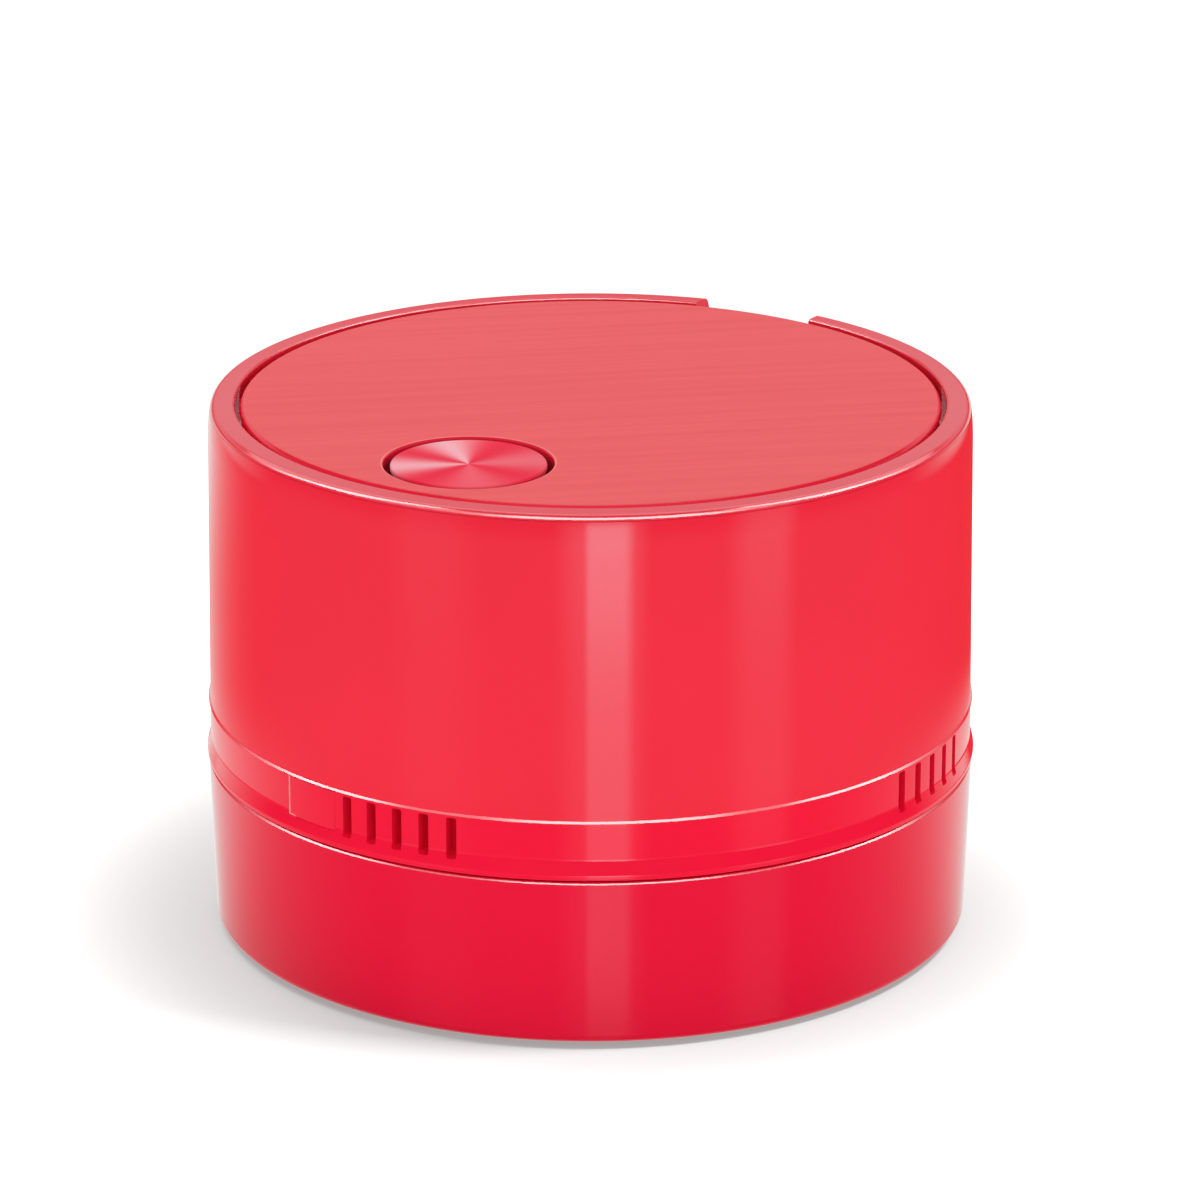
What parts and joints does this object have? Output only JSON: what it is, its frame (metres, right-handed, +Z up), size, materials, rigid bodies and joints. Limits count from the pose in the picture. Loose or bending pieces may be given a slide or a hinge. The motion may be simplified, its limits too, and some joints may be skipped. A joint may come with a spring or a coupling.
{
  "type": "desktop mini vacuum cleaner",
  "caption": "Round battery desk vacuum: glossy shell with lift-off brushed cover and push button, slotted vent band, pull-off dust cup with inlet, fan and filter.",
  "frame": {"origin": "on the desk, under the centre of the base", "axes": "+Z up, front with the button towards -Y"},
  "size_m": [0.0874, 0.0874, 0.0611],
  "materials": {
    "shell_gloss": "high gloss moulded red",
    "base_gloss": "high gloss moulded deeper red",
    "brushed_plate": "fine straight brushing, dyed red",
    "spun_face": "spun, dyed red",
    "moulded_red": "satin moulded",
    "dark_plastic": "satin moulded",
    "white_plastic": "satin moulded",
    "steel": "bright plated",
    "brass": "plain",
    "copper": "enamelled wire",
    "magnet": "sintered",
    "board": "lacquered board",
    "black_rubber": "soft",
    "cell_wrap": "printed wrap over a metal can",
    "nylon": "straight bristle",
    "filter_cloth": "fine woven mesh",
    "felt": "pressed pads",
    "wire_red": "insulation",
    "wire_black": "insulation"
  },
  "bodies": {
    "housing": {"outer_shell": "shell_gloss", "button_guide": "moulded_red", "switch_body": "dark_plastic", "battery_tray": "dark_plastic", "cell_left": "cell_wrap", "cell_right": "cell_wrap", "battery_contacts": "steel", "battery_springs": "steel", "link_lead": "wire_black", "black_lead": "wire_black", "red_lead": "wire_red", "switch_lead": "wire_red", "motor_can": "steel", "motor_end_cap": "white_plastic", "front_bush": "brass", "rear_bush": "brass", "motor_magnets": "magnet", "motor_brushes": "brass", "motor_terminals": "brass", "motor_damper": "black_rubber", "motor_screws": "steel", "fan_deck": "moulded_red", "vent_band": "base_gloss", "flap_pin": "steel", "charge_board": "board", "charge_socket": "steel", "cup_seal": "black_rubber", "deck_screws": "steel", "tray_screws": "steel"},
    "rotor": {"motor_shaft": "steel", "armature": "magnet", "windings": "copper", "commutator": "copper", "impeller": "white_plastic"},
    "top_cover": {"cover_plate": "brushed_plate", "cover_body": "moulded_red"},
    "power_button": {"button_disc": "spun_face", "button_cap": "moulded_red", "switch_plunger": "white_plastic", "button_spring": "steel"},
    "dust_box": {"dust_cup": "base_gloss", "base_plate": "moulded_red", "glide_feet": "felt", "brush_plate": "dark_plastic", "brush_bristles": "nylon", "brush_screws": "steel", "filter_frame": "white_plastic", "filter_mesh": "filter_cloth"},
    "flap": {"port_flap": "base_gloss"}
  },
  "joints": [
    {"name": "cover_lift", "type": "slide", "parent": "housing", "child": "top_cover", "axis": [0, 0, 1], "range_m": [0, 0.03]},
    {"name": "button_press", "type": "slide", "parent": "housing", "child": "power_button", "axis": [0, 0, -1], "range_m": [0, 0.0015], "stiffness_N_per_m": 400, "springref_m": -0.001, "deforming": ["button_spring"]},
    {"name": "fan_spin", "type": "hinge", "parent": "housing", "child": "rotor", "pos_m": [0, 0, 0.0247], "axis": [0, 0, 1], "continuous": true},
    {"name": "head_lift", "type": "slide", "parent": "dust_box", "child": "housing", "axis": [0, 0, 1], "range_m": [0, 0.03]},
    {"name": "flap_swing", "type": "hinge", "parent": "housing", "child": "flap", "pos_m": [-0.009, -0.04164, 0.024], "axis": [0, 0, 1], "range_deg": [0, 95]}
  ]
}
